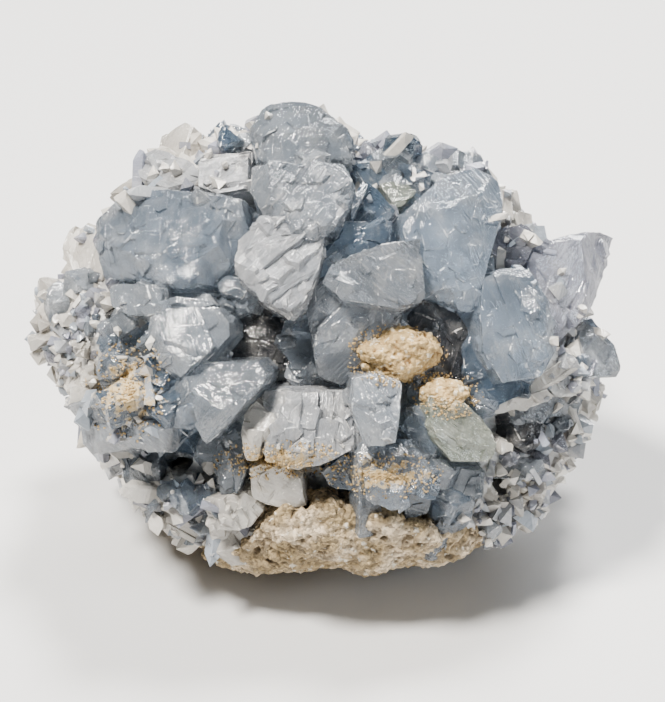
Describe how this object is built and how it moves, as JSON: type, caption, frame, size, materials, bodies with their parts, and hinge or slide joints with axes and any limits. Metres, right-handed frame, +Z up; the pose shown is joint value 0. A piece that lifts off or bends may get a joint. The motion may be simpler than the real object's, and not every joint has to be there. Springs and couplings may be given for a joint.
{
  "type": "celestite cluster",
  "caption": "Rounded cluster of pale blue celestite crystals grown together over a lump of sandy matrix, which has a flat spot underneath to rest on.",
  "frame": {"origin": "middle of the overall box, on the surface that the cluster rests on", "axes": "+Z up, +X to the right as seen from the side that shows most crystals, which faces -Y"},
  "size_m": [0.145, 0.1154, 0.1136],
  "materials": {
    "celestite": "gloss",
    "matrix": "matte",
    "sand": "matte"
  },
  "bodies": {
    "root": {"celestite": "celestite", "matrix": "matrix", "sandy_lump_upper": "sand", "sandy_lump_lower": "sand"}
  },
  "joints": []
}
